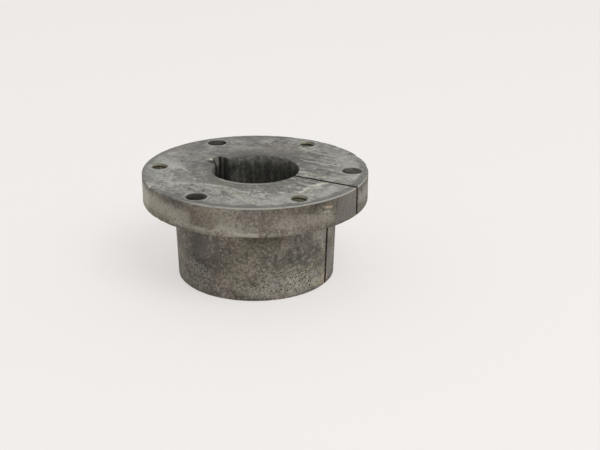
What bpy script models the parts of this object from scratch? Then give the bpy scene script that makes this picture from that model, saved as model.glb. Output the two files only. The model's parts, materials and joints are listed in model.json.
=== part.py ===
"""Quick disconnect bushing: a split, flanged bushing of cast iron with a tapered barrel.

The bushing stands on the small end of its barrel with the flange on top.  The origin is the
centre of the small end, +Z runs up the bore, and the saw cut through the wall lies on +X.
All sizes are in metres.
"""

import math

import bmesh
import bpy

# Barrel: the taper is the loss of diameter over length, three quarters of an inch in a foot
OVERALL_LENGTH = 0.047625
BARREL_LARGE_DIAMETER = 0.07144
BARREL_TAPER = 0.0625
BARREL_END_CHAMFER = 0.0006

# Flange: the bolt centres lie outside the barrel, and the rim lies outside the bolt centres
FLANGE_THICKNESS = 0.0127
BOLT_SETBACK = 0.00635
RIM_WIDTH = 0.00714
FLANGE_TOP_CHAMFER = 0.0005
FLANGE_LOWER_ROUND = 0.0009
FLANGE_ROOT_FILLET = 0.0007

# Bore and its keyway, whose depth is measured at the side of the key
BORE_DIAMETER = 0.0381
BORE_CHAMFER = 0.0004
KEYWAY_WIDTH = 0.009525
KEYWAY_DEPTH = 0.00476
KEYWAY_ANGLE = 174.7

# Saw cut that lets the bushing close on its shaft
SAW_KERF = 0.0016

# Bolts: three plain holes for mounting, with three tapped holes for jacking off midway between
BOLT_DIAMETER = 0.00794
BOLT_PITCH = 0.00141
BOLT_CLEARANCE = 0.0008
BOLTS = 3
FIRST_BOLT_ANGLE = 25.4
HOLE_CHAMFER = 0.0003

# Fineness of the round forms, and how far each cut runs past the metal
TURN_STEPS = 144
HOLE_STEPS = 32
ROUND_STEPS = 3
CUT_MARGIN = 0.0005
MERGE_DISTANCE = 0.00001
SHARP_ANGLE = math.radians(30)

IRON_COLOUR = (0.15, 0.145, 0.13, 1.0)
IRON_ROUGHNESS = 0.6
IRON_METALLIC = 0.3

barrel_radius = BARREL_LARGE_DIAMETER / 2
bolt_circle_radius = barrel_radius + BOLT_SETBACK
flange_radius = bolt_circle_radius + RIM_WIDTH
bore_radius = BORE_DIAMETER / 2
flange_back = OVERALL_LENGTH - FLANGE_THICKNESS


def new_collection(name):
    collection = bpy.data.collections.new(name)
    bpy.context.scene.collection.children.link(collection)
    return collection


def iron_material():
    material = bpy.data.materials.new("dark_oxide_cast_iron")
    material.use_nodes = True
    shader = material.node_tree.nodes["Principled BSDF"]
    shader.inputs["Base Color"].default_value = IRON_COLOUR
    shader.inputs["Roughness"].default_value = IRON_ROUGHNESS
    shader.inputs["Metallic"].default_value = IRON_METALLIC
    material.diffuse_color = IRON_COLOUR
    return material


def quarter_round(centre_x, centre_z, radius, start_degrees, end_degrees):
    """Points of a quarter circle in the profile's plane, both ends included."""
    points = []
    for step in range(ROUND_STEPS + 1):
        angle = math.radians(start_degrees + (end_degrees - start_degrees) * step / ROUND_STEPS)
        points.append((centre_x + radius * math.cos(angle), centre_z + radius * math.sin(angle)))
    return points


def barrel_radius_at(z):
    """Radius of the tapered barrel at a height, full size where it meets the flange."""
    return barrel_radius - (flange_back - z) * BARREL_TAPER / 2


def bushing_profile():
    """Section of the bushing: out over the flange, down the outside, in and up the bore."""
    root_z = flange_back - FLANGE_ROOT_FILLET
    root_radius = barrel_radius_at(root_z)
    top_face = [
        (bore_radius + BORE_CHAMFER, OVERALL_LENGTH),
        (flange_radius - FLANGE_TOP_CHAMFER, OVERALL_LENGTH),
        (flange_radius, OVERALL_LENGTH - FLANGE_TOP_CHAMFER),
    ]
    lower_edge = quarter_round(
        flange_radius - FLANGE_LOWER_ROUND, flange_back + FLANGE_LOWER_ROUND, FLANGE_LOWER_ROUND, 0, -90
    )
    root = quarter_round(root_radius + FLANGE_ROOT_FILLET, root_z, FLANGE_ROOT_FILLET, 90, 180)
    barrel_end = [
        (barrel_radius_at(BARREL_END_CHAMFER), BARREL_END_CHAMFER),
        (barrel_radius_at(0.0) - BARREL_END_CHAMFER, 0.0),
    ]
    bore = [
        (bore_radius + BORE_CHAMFER, 0.0),
        (bore_radius, BORE_CHAMFER),
        (bore_radius, OVERALL_LENGTH - BORE_CHAMFER),
    ]
    return top_face + lower_edge + root + barrel_end + bore


def hole_profile(radius):
    """Outside of a hole's cutter, from above the flange to below it, with an edge break at each end."""
    flare = HOLE_CHAMFER + CUT_MARGIN
    return [
        (0.0, OVERALL_LENGTH + CUT_MARGIN),
        (radius + flare, OVERALL_LENGTH + CUT_MARGIN),
        (radius, OVERALL_LENGTH - HOLE_CHAMFER),
        (radius, flange_back + HOLE_CHAMFER),
        (radius + flare, flange_back - CUT_MARGIN),
        (0.0, flange_back - CUT_MARGIN),
    ]


def turned(name, profile, closed, steps, collection):
    """Turn a profile in the XZ plane round the Z axis."""
    edges = [(index, index + 1) for index in range(len(profile) - 1)]
    if closed:
        edges.append((len(profile) - 1, 0))
    mesh = bpy.data.meshes.new(name)
    mesh.from_pydata([(x, 0.0, z) for x, z in profile], edges, [])
    piece = bpy.data.objects.new(name, mesh)
    collection.objects.link(piece)
    screw = piece.modifiers.new("Turn", "SCREW")
    screw.axis = "Z"
    screw.angle = math.tau
    screw.steps = steps
    screw.render_steps = steps
    screw.use_merge_vertices = True
    screw.merge_threshold = MERGE_DISTANCE
    return piece


def radial_block(name, reach, width, collection):
    """Block the full height of the bushing, from the bore's axis out along +X."""
    height = OVERALL_LENGTH + 2 * CUT_MARGIN
    shape = bmesh.new()
    bmesh.ops.create_cube(shape, size=1.0)
    bmesh.ops.scale(shape, vec=(reach, width, height), verts=shape.verts)
    bmesh.ops.translate(shape, vec=(reach / 2, 0.0, OVERALL_LENGTH / 2), verts=shape.verts)
    mesh = bpy.data.meshes.new(name)
    shape.to_mesh(mesh)
    shape.free()
    piece = bpy.data.objects.new(name, mesh)
    collection.objects.link(piece)
    return piece


def keyway_reach():
    """Distance from the bore's axis to the floor of the keyway."""
    side_of_key = math.sqrt(bore_radius**2 - (KEYWAY_WIDTH / 2) ** 2)
    return side_of_key + KEYWAY_DEPTH


def saw_cut_cutter(collection):
    return radial_block("saw_cut", flange_radius + CUT_MARGIN, SAW_KERF, collection)


def keyway_cutter(collection):
    cutter = radial_block("keyway", keyway_reach(), KEYWAY_WIDTH, collection)
    cutter.rotation_euler.z = math.radians(KEYWAY_ANGLE)
    return cutter


def hole_cutters(name, diameter, first_angle, collection):
    """One cutter for each of the holes that share the bolt circle, evenly spaced."""
    cutters = []
    for index in range(BOLTS):
        angle = math.radians(first_angle) + index * math.tau / BOLTS
        cutter = turned(f"{name}_{index + 1}", hole_profile(diameter / 2), False, HOLE_STEPS, collection)
        cutter.location.x = bolt_circle_radius * math.cos(angle)
        cutter.location.y = bolt_circle_radius * math.sin(angle)
        cutters.append(cutter)
    return cutters


def cut(piece, cutter):
    boolean = piece.modifiers.new(cutter.name, "BOOLEAN")
    boolean.operation = "DIFFERENCE"
    boolean.solver = "EXACT"
    boolean.object = cutter
    cutter.hide_render = True
    cutter.display_type = "WIRE"


def apply_modifiers(piece):
    """Turn the modifiers' result into the piece's own mesh, smooth on its rounds and sharp at edges."""
    bpy.context.view_layer.update()
    evaluated = piece.evaluated_get(bpy.context.evaluated_depsgraph_get())
    finished = bpy.data.meshes.new_from_object(evaluated)
    piece.modifiers.clear()
    piece.data = finished
    finished.name = piece.name
    finished.shade_smooth()
    finished.set_sharp_from_angle(angle=SHARP_ANGLE)


for leftover in list(bpy.data.objects):
    bpy.data.objects.remove(leftover, do_unlink=True)

parts = new_collection("quick_disconnect_bushing")
cutters = new_collection("cutters")

bushing = turned("bushing", bushing_profile(), True, TURN_STEPS, parts)
bolt_holes = hole_cutters("bolt_hole", BOLT_DIAMETER + BOLT_CLEARANCE, FIRST_BOLT_ANGLE, cutters)
jack_holes = hole_cutters("jack_hole", BOLT_DIAMETER - BOLT_PITCH, FIRST_BOLT_ANGLE + 180 / BOLTS, cutters)
for tool in [keyway_cutter(cutters), *bolt_holes, *jack_holes, saw_cut_cutter(cutters)]:
    cut(bushing, tool)
apply_modifiers(bushing)
bushing.data.materials.clear()
bushing.data.materials.append(iron_material())
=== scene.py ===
"""A quick disconnect bushing of cast iron, standing on the small end of its barrel.

The sections follow the work on it: turned and blacked, bored and keyed, drilled, tapped and sawn, then
rubbed, oiled and handled.  Sizes are in millimetres, only for the floor and the lamp in metres, and in
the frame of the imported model: the origin is the centre of the small end, +Z runs up the bore, and the
saw cut lies on +X.
"""

import json
import math
import random

import bmesh
import bpy
from mathutils import Matrix, Quaternion, Vector, noise

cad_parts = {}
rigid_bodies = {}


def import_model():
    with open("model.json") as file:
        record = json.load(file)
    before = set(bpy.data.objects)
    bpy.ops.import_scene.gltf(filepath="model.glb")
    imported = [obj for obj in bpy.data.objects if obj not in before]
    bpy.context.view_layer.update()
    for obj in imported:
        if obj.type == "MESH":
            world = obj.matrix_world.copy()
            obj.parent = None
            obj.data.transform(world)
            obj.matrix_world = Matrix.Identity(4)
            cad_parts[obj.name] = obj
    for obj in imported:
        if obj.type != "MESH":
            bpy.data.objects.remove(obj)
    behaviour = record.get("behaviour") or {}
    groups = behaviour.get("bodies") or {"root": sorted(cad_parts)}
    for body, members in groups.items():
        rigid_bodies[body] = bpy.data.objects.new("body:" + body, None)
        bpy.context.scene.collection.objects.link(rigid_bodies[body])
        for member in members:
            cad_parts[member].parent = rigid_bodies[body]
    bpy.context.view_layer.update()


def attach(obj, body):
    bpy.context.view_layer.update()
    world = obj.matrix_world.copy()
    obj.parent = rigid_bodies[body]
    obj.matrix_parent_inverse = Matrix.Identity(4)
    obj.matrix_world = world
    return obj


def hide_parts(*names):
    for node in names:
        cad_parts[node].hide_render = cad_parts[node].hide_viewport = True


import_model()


# The casting: one piece of grey cast iron, turned all over to a flange over a tapered barrel.
# Every corner is broken by the turner.  The outer corners have since been knocked and worn.

MM = 0.001
LENGTH = 47.625
FLANGE_THICKNESS = 12.7
FLANGE_RADIUS = 49.21
BARREL_RADIUS = 35.72
BARREL_TAPER = 0.03125
BORE_RADIUS = 19.05
FLANGE_BACK = LENGTH - FLANGE_THICKNESS

TOP_BREAK = 0.5
LOWER_ROUND = 0.6
ROOT_FILLET = 0.7
END_BREAK = 0.6
BORE_BREAK = 0.4
TURNED_COLUMNS = 400
TOP_BREAK_ROWS = 3
LOWER_ROUND_ROWS = 4

# How far apart the rows of points lie along the section, closer near the corners that take knocks.
FACE_ROWS = 2.0
EDGE_ROWS = 0.4
RIM_ROWS = 0.8
BACK_ROWS = 3.0
BARREL_ROWS = 1.0
END_ROWS = 2.5
BORE_ROWS = 2.4
BREAK_ROWS = 0.5
EDGE_BAND_RADIUS = 47.6

BLACKED, BORED, FACED = range(3)


def barrel_radius(z):
    return BARREL_RADIUS - (FLANGE_BACK - z) * BARREL_TAPER


def run(start, end, step, finish):
    """Rows of one straight stretch of the section, from start up to the next stretch's first row."""
    count = max(1, round(math.dist(start, end) / step))
    rows = []
    for index in range(count):
        share = index / count
        radius = start[0] + (end[0] - start[0]) * share
        z = start[1] + (end[1] - start[1]) * share
        rows.append((radius, z, finish))
    return rows


def quarter(centre, radius, first_degrees, steps, finish):
    """Rows of a quarter circle, turning clockwise in the section from the first angle."""
    rows = []
    for index in range(steps):
        angle = math.radians(first_degrees - 90 * index / steps)
        rows.append((centre[0] + radius * math.cos(angle), centre[1] + radius * math.sin(angle), finish))
    return rows


def casting_section():
    """Section of the casting, over the flange, down the outside, in under the end and up the bore."""
    mouth = BORE_RADIUS + BORE_BREAK
    small_end = barrel_radius(0) - END_BREAK
    root = FLANGE_BACK - ROOT_FILLET
    lower_centre = (FLANGE_RADIUS - LOWER_ROUND, FLANGE_BACK + LOWER_ROUND)
    top_centre = (FLANGE_RADIUS - TOP_BREAK, LENGTH - TOP_BREAK)
    return (
        run((mouth, LENGTH), (EDGE_BAND_RADIUS, LENGTH), FACE_ROWS, FACED)
        + run((EDGE_BAND_RADIUS, LENGTH), (top_centre[0], LENGTH), EDGE_ROWS, FACED)
        + quarter(top_centre, TOP_BREAK, 90, TOP_BREAK_ROWS, FACED)
        + run((FLANGE_RADIUS, top_centre[1]), (FLANGE_RADIUS, lower_centre[1]), RIM_ROWS, BLACKED)
        + quarter(lower_centre, LOWER_ROUND, 0, LOWER_ROUND_ROWS, BLACKED)
        + run((lower_centre[0], FLANGE_BACK), (barrel_radius(root) + ROOT_FILLET, FLANGE_BACK), BACK_ROWS, BLACKED)
        + [(barrel_radius(root) + ROOT_FILLET * (1 - math.sin(math.radians(turn))),
            root + ROOT_FILLET * math.cos(math.radians(turn)), BLACKED) for turn in (0, 30, 60)]
        + run((barrel_radius(root), root), (barrel_radius(END_BREAK), END_BREAK), BARREL_ROWS, BLACKED)
        + run((barrel_radius(END_BREAK), END_BREAK), (small_end, 0), EDGE_ROWS, BLACKED)
        + run((small_end, 0), (mouth, 0), END_ROWS, FACED)
        + run((mouth, 0), (BORE_RADIUS, BORE_BREAK), BREAK_ROWS, FACED)
        + run((BORE_RADIUS, BORE_BREAK), (BORE_RADIUS, LENGTH - BORE_BREAK), BORE_ROWS, BORED)
        + run((BORE_RADIUS, LENGTH - BORE_BREAK), (mouth, LENGTH), BREAK_ROWS, FACED)
    )


# Each knocked corner has its radius, its height and how far the knocks reach from it.
KNOCKED_CORNERS = ((FLANGE_RADIUS, LENGTH, 1.4), (FLANGE_RADIUS, FLANGE_BACK, 1.6), (barrel_radius(0), 0, 1.4))
KNOCK_SCALE, KNOCK_DEPTH = 0.21, 0.5
NICK_SCALE, NICK_DEPTH = 0.9, 0.25
SPARED_DEPTH = 0.1
DEEPEST_KNOCK = 0.25
KNOCK_SLANT = 0.7
CORNER_BAND = 1


def knocked(point):
    """Corners of the rim and of the small end, pushed in a little where they were knocked and worn."""
    radius = math.hypot(point.x, point.y)
    corner = 0.0
    for corner_radius, corner_z, reach in KNOCKED_CORNERS:
        corner += max(0.0, 1 - math.dist((radius, point.z), (corner_radius, corner_z)) / reach)
    knock = noise.noise(point * KNOCK_SCALE) * KNOCK_DEPTH + noise.noise(point * NICK_SCALE) * NICK_DEPTH
    depth = corner * max(0.0, knock - SPARED_DEPTH)
    inward = Vector((-point.x / radius, -point.y / radius, 0))
    middle = LENGTH - FLANGE_THICKNESS / 2 if point.z > FLANGE_BACK - CORNER_BAND else FLANGE_BACK / 2
    # The foot is only pushed level, so that the bushing still stands on it.
    if point.z >= CORNER_BAND:
        inward.z = KNOCK_SLANT if point.z < middle else -KNOCK_SLANT
    return point + inward * min(depth, DEEPEST_KNOCK)


def turned_casting():
    section = casting_section()
    points = []
    for radius, z, finish in section:
        for column in range(TURNED_COLUMNS):
            angle = math.tau * column / TURNED_COLUMNS
            points.append(knocked(Vector((radius * math.cos(angle), radius * math.sin(angle), z))) * MM)
    faces = []
    finishes = []
    for row, (radius, z, finish) in enumerate(section):
        here = row * TURNED_COLUMNS
        below = (row + 1) % len(section) * TURNED_COLUMNS
        for column in range(TURNED_COLUMNS):
            beside = (column + 1) % TURNED_COLUMNS
            faces.append((here + column, below + column, below + beside, here + beside))
            finishes.append(finish)
    mesh = bpy.data.meshes.new("bushing_casting")
    mesh.from_pydata(points, [], faces)
    mesh.polygons.foreach_set("material_index", finishes)
    return mesh


casting = bpy.data.objects.new("bushing_casting", turned_casting())
bpy.context.scene.collection.objects.link(casting)
cutters = bpy.data.collections.new("cutters")
bpy.context.scene.collection.children.link(cutters)


# The blacked outside: the rim and the barrel keep the brown-grey oxide that the iron was blacked with.
# It is finely mottled and stained with old oil, worn pale at the foot of the barrel near the saw cut,
# wiped smooth beside the cut on the rim, and a little rusty at the cut's foot.  Silver specks at the foot are
# partly worn bare iron and partly painted glints, and pale dust at the rim's left end is partly painted light
# on the side that the lamp leaves in shade.

OXIDE_TONES = (
    (0.0, (0.018, 0.015, 0.0112)), (0.25, (0.057, 0.0465, 0.0325)), (0.5, (0.107, 0.0893, 0.07)),
    (0.75, (0.172, 0.15, 0.122)), (1.0, (0.26, 0.235, 0.198)),
)
PURPLE_BROWN = (0.08, 0.065, 0.055, 1)
GREEN_BLACK = (0.062, 0.057, 0.046, 1)
ASH_GREY = (0.225, 0.215, 0.18, 1)
DUST_AND_LIGHT = (0.37, 0.347, 0.292, 1)
SILVER_AND_GLINT = (0.37, 0.365, 0.33, 1)
OLIVE_STAIN = (0.2, 0.182, 0.127, 1)
SAND = (0.34, 0.31, 0.205, 1)
RUST = (0.33, 0.2, 0.09, 1)
SMOOTH_GREY = (0.136, 0.125, 0.113, 1)
LINE_BLACK = (0.03, 0.027, 0.022, 1)
UNROLLED_RADIUS = 40.0
GRAIN_SCALE = 0.55

# The rim is paler and evener than the barrel.
RIM_TONE, BARREL_TONE = 0.56, 0.467
RIM_CONTRAST, BARREL_CONTRAST = 0.82, 1.25

# The wiped patch on the rim: its lean, and the places where its left, right and lower edges fade.
WIPED_LEAN = -0.18
WIPED_LEFT = (-19.5, -18.8)
WIPED_RIGHT = (-6.2, -6.6)
WIPED_FOOT = (35, 36.5)

# Marks on the round of the bushing run from degrees, height to degrees, height, and then have their
# reach to either side in millimetres and their strength.
PURPLE_MARKS = [
    (-96, 26, -77, 25, 5, 0.6), (-96, 8, -80, 6, 6, 0.6), (-92, 4, -78, 3, 4, 0.4), (-112, 44, -92, 42, 4, 0.35),
    (-108, 24, -84, 18, 8, 0.6), (-58, 40, -48, 38, 5, 0.35), (-62, 20, -38, 18, 6, 0.5),
    (-95, 43, -84, 41, 4, 0.35), (-44, 42, -36, 41, 4, 0.3), (150, 20, 175, 16, 8, 0.5), (60, 41, 85, 40, 4, 0.4),
]
GREEN_MARKS = [
    (-48, 6, -12, 5, 6.5, 0.4), (-34, 17.5, -17, 16, 4, 0.8), (-55, 19, -38, 18, 5.5, 0.6),
    (-132, 19, -118, 17, 6, 0.75), (-72, 11, -44, 12, 4, 0.25), (-33, 20.5, -15, 18.5, 6.5, 0.8),
    (-30, 27, -17, 26, 4, 0.5), (100, 12, 125, 15, 7, 0.5),
]
ASH_MARKS = [
    (-54, 8.5, -34, 6, 6.5, 0.15), (-34, 8, -18, 7, 5.5, 0.2), (-74, 40, -63, 38.5, 4, 0.65),
    (-9, 27, -5, 20, 2.0, 0.7), (-68, 5, -52, 4, 4, 0.3), (-47, 22, -41, 21, 2.0, 0.35),
    (-100, 38, -84, 37, 2.2, 0.45), (80, 20, 110, 24, 7, 0.5), (3, 46, 6, 40, 0.9, 0.7), (8, 46, 12, 38, 0.9, 0.7),
    (14, 45, 17, 39, 0.9, 0.6), (-170, 40, -150, 39, 4, 0.5), (-34, 41, -24, 40, 4, 0.2),
    (-130, 5, -100, 4, 4, 0.65), (-114, 12, -97, 10, 4.5, 0.75),
]
# The first two dust marks, at the rim's left end, are partly painted light on the side away from the lamp.
DUST_AND_LIGHT_MARKS = [
    (-146, 41, -130, 41, 6.5, 1.0), (-124, 42, -97, 41, 5, 0.5), (-14, 26, 4, 24, 4.5, 0.5),
    (-70, 4.5, -44, 3.5, 3.5, 0.15), (-34, 4.5, -15, 4, 3, 0.4), (-46, 41, -22, 40, 4.5, 0.24),
    (2, 42, 9, 41, 4, 0.4), (12, 43, 22, 41, 4, 0.35), (-104, 37.4, -78, 37, 1.6, 0.3), (-12, 4, 2, 4, 3, 0.35),
    (-77, 38.5, -70, 37, 2.4, 0.35), (-70, 36.6, -60, 36.2, 1.0, 0.6), (-24, 44.5, -21, 44.3, 0.5, 0.9),
    (-25, 42.8, -21.5, 42.5, 0.4, 0.7),
]
# Silver specks at the foot: partly worn bare iron and partly painted glints.
WORN_FOOT_AND_GLINT_MARKS = [
    (-50, 8, -34, 6.5, 6.5, 0.4), (-34, 7, -15, 6.5, 6.5, 0.68), (-62, 4.5, -50, 4, 4, 0.5),
    (-12, 27, -6, 20, 2.6, 0.8),
]
OLIVE_STAINS = [
    (-146, 41, -104, 39, 6, 0.65), (-78, 10, -62, 24, 7, 0.3), (-26, 44, -20, 38, 3.2, 0.5),
    (-12, 14, -6, 17, 3, 0.4), (-150, 26, -124, 12, 7, 0.35), (-116, 9, -100, 4, 6, 0.3),
    (4, 37, 14, 38, 2.5, 0.45), (3, 31, 12, 20, 4.5, 0.9), (-9, 21, -5, 19, 2.2, 0.55), (100, 41, 130, 38, 5, 0.5),
    (40, 12, 60, 8, 7, 0.4),
]
SMOOTH_MARKS = [(4, 14, 9, 5, 5, 0.7), (-10, 9, -4, 12, 2.6, 0.5), (-90, 24, -100, 20, 5, 0.2)]
SAND_MARKS = [
    (-3.6, 20, -3.2, 16, 1.0, 0.6), (-9, 9.5, -5, 7.5, 1.8, 0.45), (-12, 3, -2, 3, 2.6, 0.5),
    (-26, 11, -17, 13, 1.4, 0.4), (-140, 38, -128, 37.5, 2, 0.4), (1.5, 3, 4, 3, 1.2, 0.4),
]
RUST_MARKS = [(-2.6, 1.5, -1.5, 4.5, 1.2, 0.75), (-24, 45, -21.5, 44.3, 0.8, 0.35)]
BLACK_LINES = [
    (-56.6, 47.5, -56.5, 44.8, 0.35, 0.7), (-56.5, 44.8, -56.4, 38, 0.25, 0.35), (-7, 0.8, 2, 5.5, 0.5, 0.4),
]


def add(tree, kind, feeds, **settings):
    """One node with its settings, its sockets fed by numbers or by other nodes' outputs."""
    made = tree.nodes.new("ShaderNode" + kind)
    for name, value in settings.items():
        setattr(made, name, value)
    for socket, value in feeds.items():
        target = made.inputs[socket]
        if isinstance(socket, str):
            target = next(entry for entry in made.inputs if entry.name == socket and entry.enabled)
        if isinstance(value, bpy.types.NodeSocket):
            tree.links.new(value, target)
        else:
            target.default_value = value
    return made


def arithmetic(tree, operation, *values):
    return add(tree, "Math", dict(enumerate(values)), operation=operation).outputs[0]


def times(tree, first, second):
    return arithmetic(tree, "MULTIPLY", first, second)


def between(tree, value, low, high):
    """0 at low and 1 at high, with a smooth change from one to the other."""
    feeds = {"Value": value, "From Min": low, "From Max": high}
    return add(tree, "MapRange", feeds, interpolation_type="SMOOTHSTEP").outputs["Result"]


def millimetres(tree):
    """Place on the bushing, in the millimetres of this script."""
    where = add(tree, "TexCoord", {}).outputs["Object"]
    return add(tree, "VectorMath", {0: where, "Scale": 1 / MM}, operation="SCALE").outputs[0]


def parted(tree, place):
    """The X, Y and Z of a place, each on its own."""
    return add(tree, "SeparateXYZ", {0: place}).outputs


def grain(tree, place, size, detail=3.0, roughness=0.6):
    """Cloudy pattern whose patches are about the given number of millimetres across."""
    feeds = {"Vector": place, "Scale": GRAIN_SCALE / size, "Detail": detail, "Roughness": roughness}
    return add(tree, "TexNoise", feeds).outputs["Fac"]


def ragged(tree, place, size, reach):
    """The place pushed about by a grain, so that a mark drawn in it gets an uneven edge."""
    clouds = add(tree, "TexNoise", {"Vector": place, "Scale": GRAIN_SCALE / size, "Detail": 3.0})
    centred = add(tree, "VectorMath", {0: clouds.outputs["Color"], 1: (0.5, 0.5, 0.5)}, operation="SUBTRACT")
    pushed = add(tree, "VectorMath", {0: centred.outputs[0], "Scale": 2 * reach}, operation="SCALE")
    return add(tree, "VectorMath", {0: place, 1: pushed.outputs[0]}, operation="ADD").outputs[0]


def blended(tree, *parts):
    """Several grains added about a middle tone of one half, each with its own share."""
    total = 0.5 - sum(share for cloud, share in parts) / 2
    for cloud, share in parts:
        total = arithmetic(tree, "MULTIPLY_ADD", cloud, share, total)
    return total


def stirred(tree, tone, cloud, share):
    """A tone with a grain added about the grain's middle, as strongly as its share says."""
    return arithmetic(tree, "MULTIPLY_ADD", arithmetic(tree, "SUBTRACT", cloud, 0.5), share, tone)


def toned(tree, tone, tones):
    """The colour of each tone from 0, the darkest, to 1, the palest."""
    ramp = add(tree, "ValToRGB", {"Fac": tone})
    stops = ramp.color_ramp.elements
    while len(stops) < len(tones):
        stops.new(0.5)
    for stop, (position, colour) in zip(stops, tones):
        stop.position = position
        stop.color = (*colour, 1)
    return ramp.outputs["Color"]


def paint(tree, under, over, mask):
    """One colour over another, as far as the mask lets it through."""
    mixed = add(tree, "Mix", {}, data_type="RGBA")
    for socket, value in zip([entry for entry in mixed.inputs if entry.enabled], (mask, under, over)):
        if isinstance(value, bpy.types.NodeSocket):
            tree.links.new(value, socket)
        else:
            socket.default_value = value
    return next(entry for entry in mixed.outputs if entry.enabled)


def stroke_group():
    """A mark drawn as a straight stroke: full on its line, and fading out at its reach."""
    group = bpy.data.node_groups.new("stroke", "ShaderNodeTree")
    for name in ("X", "Y", "Cosine", "Sine", "Along", "Aside", "Half", "Strength"):
        group.interface.new_socket(name, in_out="INPUT", socket_type="NodeSocketFloat")
    group.interface.new_socket("Mask", in_out="OUTPUT", socket_type="NodeSocketFloat")
    given = group.nodes.new("NodeGroupInput").outputs
    along = arithmetic(group, "MULTIPLY_ADD", given["Y"], given["Sine"], given["Along"])
    along = arithmetic(group, "MULTIPLY_ADD", given["X"], given["Cosine"], along)
    aside = arithmetic(group, "MULTIPLY_ADD", given["X"], given["Sine"], given["Aside"])
    aside = arithmetic(group, "SUBTRACT", aside, times(group, given["Y"], given["Cosine"]))
    beyond = arithmetic(group, "SUBTRACT", arithmetic(group, "ABSOLUTE", along), given["Half"])
    beyond = arithmetic(group, "MAXIMUM", beyond, 0)
    away = arithmetic(group, "MULTIPLY_ADD", aside, aside, times(group, beyond, beyond))
    mask = between(group, arithmetic(group, "SQRT", away), 1.0, 0.25)
    result = group.nodes.new("NodeGroupOutput")
    group.links.new(times(group, mask, given["Strength"]), result.inputs["Mask"])
    return group


stroke = stroke_group()


def marked(tree, colour, place, tint, marks, broken_by=None):
    """Marks of one tint over the colour, broken up where a grain is given."""
    for x1, y1, x2, y2, reach, strength in marks:
        turn = math.atan2(y2 - y1, x2 - x1)
        cosine, sine = math.cos(turn) / reach, math.sin(turn) / reach
        x, y = (x1 + x2) / 2, (y1 + y2) / 2
        half = math.dist((x1, y1), (x2, y2)) / 2 / reach
        mark = add(tree, "Group", {}, node_tree=stroke)
        for name in ("X", "Y"):
            tree.links.new(place[name], mark.inputs[name])
        for name, value in (
            ("Cosine", cosine), ("Sine", sine), ("Along", -x * cosine - y * sine),
            ("Aside", y * cosine - x * sine), ("Half", half), ("Strength", strength),
        ):
            mark.inputs[name].default_value = value
        mask = mark.outputs["Mask"]
        if broken_by is not None:
            mask = times(tree, mask, broken_by)
        colour = paint(tree, colour, tint, mask)
    return colour


def finished(tree, colour, roughness, relief, depth):
    """Feeds the shader: its colour and roughness, and a relief of the given depth in millimetres."""
    shader = tree.nodes["Principled BSDF"]
    bump = add(tree, "Bump", {"Height": relief, "Distance": depth * MM})
    tree.links.new(colour, shader.inputs["Base Color"])
    tree.links.new(roughness, shader.inputs["Roughness"])
    tree.links.new(bump.outputs["Normal"], shader.inputs["Normal"])


def scaled(tree, value, low, high):
    return add(tree, "MapRange", {"Value": value, "To Min": low, "To Max": high}).outputs["Result"]


def around(marks):
    """Marks given by degrees round the bushing, laid out flat in millimetres."""
    length = math.radians(1) * UNROLLED_RADIUS
    return [(a1 * length, z1, a2 * length, z2, reach, strength) for a1, z1, a2, z2, reach, strength in marks]


def new_finish(name):
    finish = bpy.data.materials.new(name)
    finish.use_nodes = True
    return finish, finish.node_tree


blacked, tree = new_finish("blacked_iron")
place = millimetres(tree)
sides = parted(tree, place)
turn = times(tree, arithmetic(tree, "ARCTAN2", sides["Y"], sides["X"]), UNROLLED_RADIUS)
unrolled = add(tree, "CombineXYZ", {"X": turn, "Y": sides["Z"]}).outputs[0]
uneven = parted(tree, ragged(tree, unrolled, 3, reach=1.4))
clouds = grain(tree, place, 10)
mottle = grain(tree, place, 3, roughness=0.65)
freckle = grain(tree, place, 1.0, detail=2.0)
speckle = grain(tree, place, 0.55, detail=2.0)
salt = grain(tree, place, 0.42, detail=1.0, roughness=0.5)
tinge = grain(tree, place, 15)

on_barrel = between(tree, sides["Z"], FLANGE_BACK + 1, FLANGE_BACK - 1)
ground = scaled(tree, on_barrel, RIM_TONE, BARREL_TONE)
contrast = scaled(tree, on_barrel, RIM_CONTRAST, BARREL_CONTRAST)
cover = blended(
    tree, (grain(tree, place, 22), 1.2), (clouds, 1.4), (mottle, 0.36), (freckle, 0.5), (speckle, 1.75),
)
tone = stirred(tree, ground, cover, contrast)
colour = toned(tree, tone, OXIDE_TONES)
colour = paint(tree, colour, PURPLE_BROWN, times(tree, between(tree, tinge, 0.5, 0.3), 0.35))
colour = paint(tree, colour, OLIVE_STAIN, times(tree, between(tree, tinge, 0.5, 0.7), 0.25))
broken = between(tree, speckle, 0.3, 0.55)
colour = marked(tree, colour, uneven, PURPLE_BROWN, around(PURPLE_MARKS), between(tree, speckle, 0.7, 0.4))
colour = marked(tree, colour, uneven, GREEN_BLACK, around(GREEN_MARKS), between(tree, freckle, 0.7, 0.4))
colour = marked(tree, colour, uneven, OLIVE_STAIN, around(OLIVE_STAINS), broken)
colour = marked(tree, colour, uneven, ASH_GREY, around(ASH_MARKS), between(tree, speckle, 0.34, 0.6))
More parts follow.
